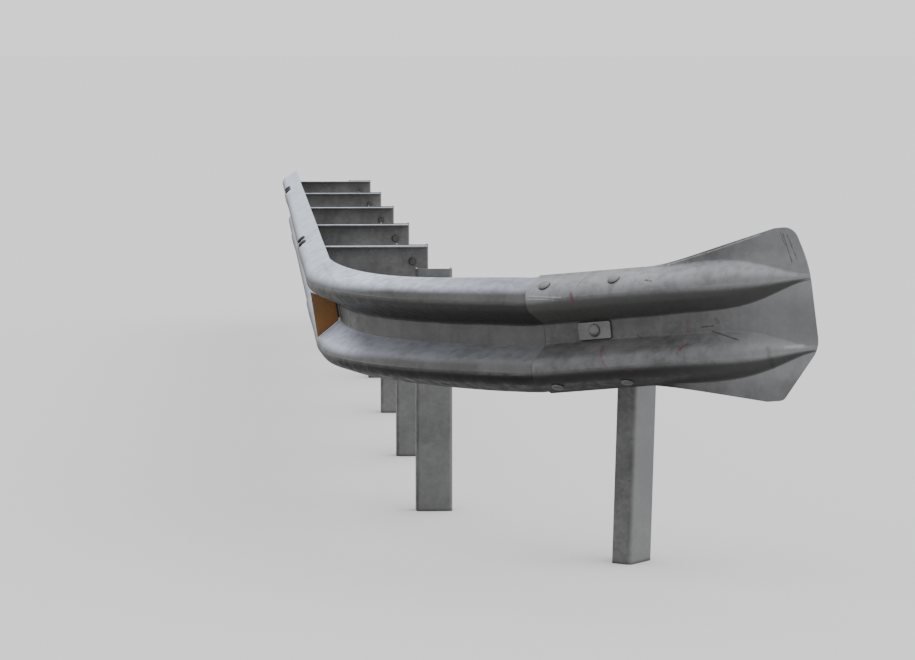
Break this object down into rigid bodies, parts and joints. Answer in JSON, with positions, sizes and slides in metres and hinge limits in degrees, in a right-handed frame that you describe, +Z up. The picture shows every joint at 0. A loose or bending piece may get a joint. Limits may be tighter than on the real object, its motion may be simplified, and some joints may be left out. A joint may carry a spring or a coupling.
{
  "type": "highway guardrail section",
  "caption": "Galvanised steel roadside guardrail: a two-wave rail on channel posts with spacers, ending in a curved, flared terminal with an amber reflector.",
  "frame": {"origin": "foot of the post where the bend starts, in the middle of its web, at ground level", "axes": "+Y along the straight run away from the flared end, +X away from the traffic side, +Z up"},
  "size_m": [1.2725, 8.4748, 0.9541],
  "materials": {
    "rail_steel": "weathered galvanised",
    "end_steel": "weathered galvanised, dull",
    "post_steel": "mottled galvanised",
    "spacer_steel": "dark weathered galvanised",
    "small_steel": "weathered galvanised",
    "amber_lens": "dusty amber"
  },
  "bodies": {
    "root": {"cover_plate_1": "small_steel", "cover_plate_2": "small_steel", "cover_plate_3": "small_steel", "cover_plate_4": "small_steel", "cover_plate_5": "small_steel", "cover_plate_6": "small_steel", "cover_plate_end": "small_steel", "post_1": "post_steel", "post_2": "post_steel", "post_3": "post_steel", "post_4": "post_steel", "post_5": "post_steel", "post_6": "post_steel", "post_end": "post_steel", "rail_1": "rail_steel", "rail_2": "rail_steel", "rail_curved": "rail_steel", "rail_terminal": "end_steel", "reflector_bracket": "small_steel", "reflector_lens": "amber_lens", "spacer_1": "spacer_steel", "spacer_2": "spacer_steel", "spacer_3": "spacer_steel", "spacer_4": "spacer_steel", "spacer_5": "spacer_steel", "spacer_6": "spacer_steel", "spacer_end": "spacer_steel"}
  },
  "joints": []
}
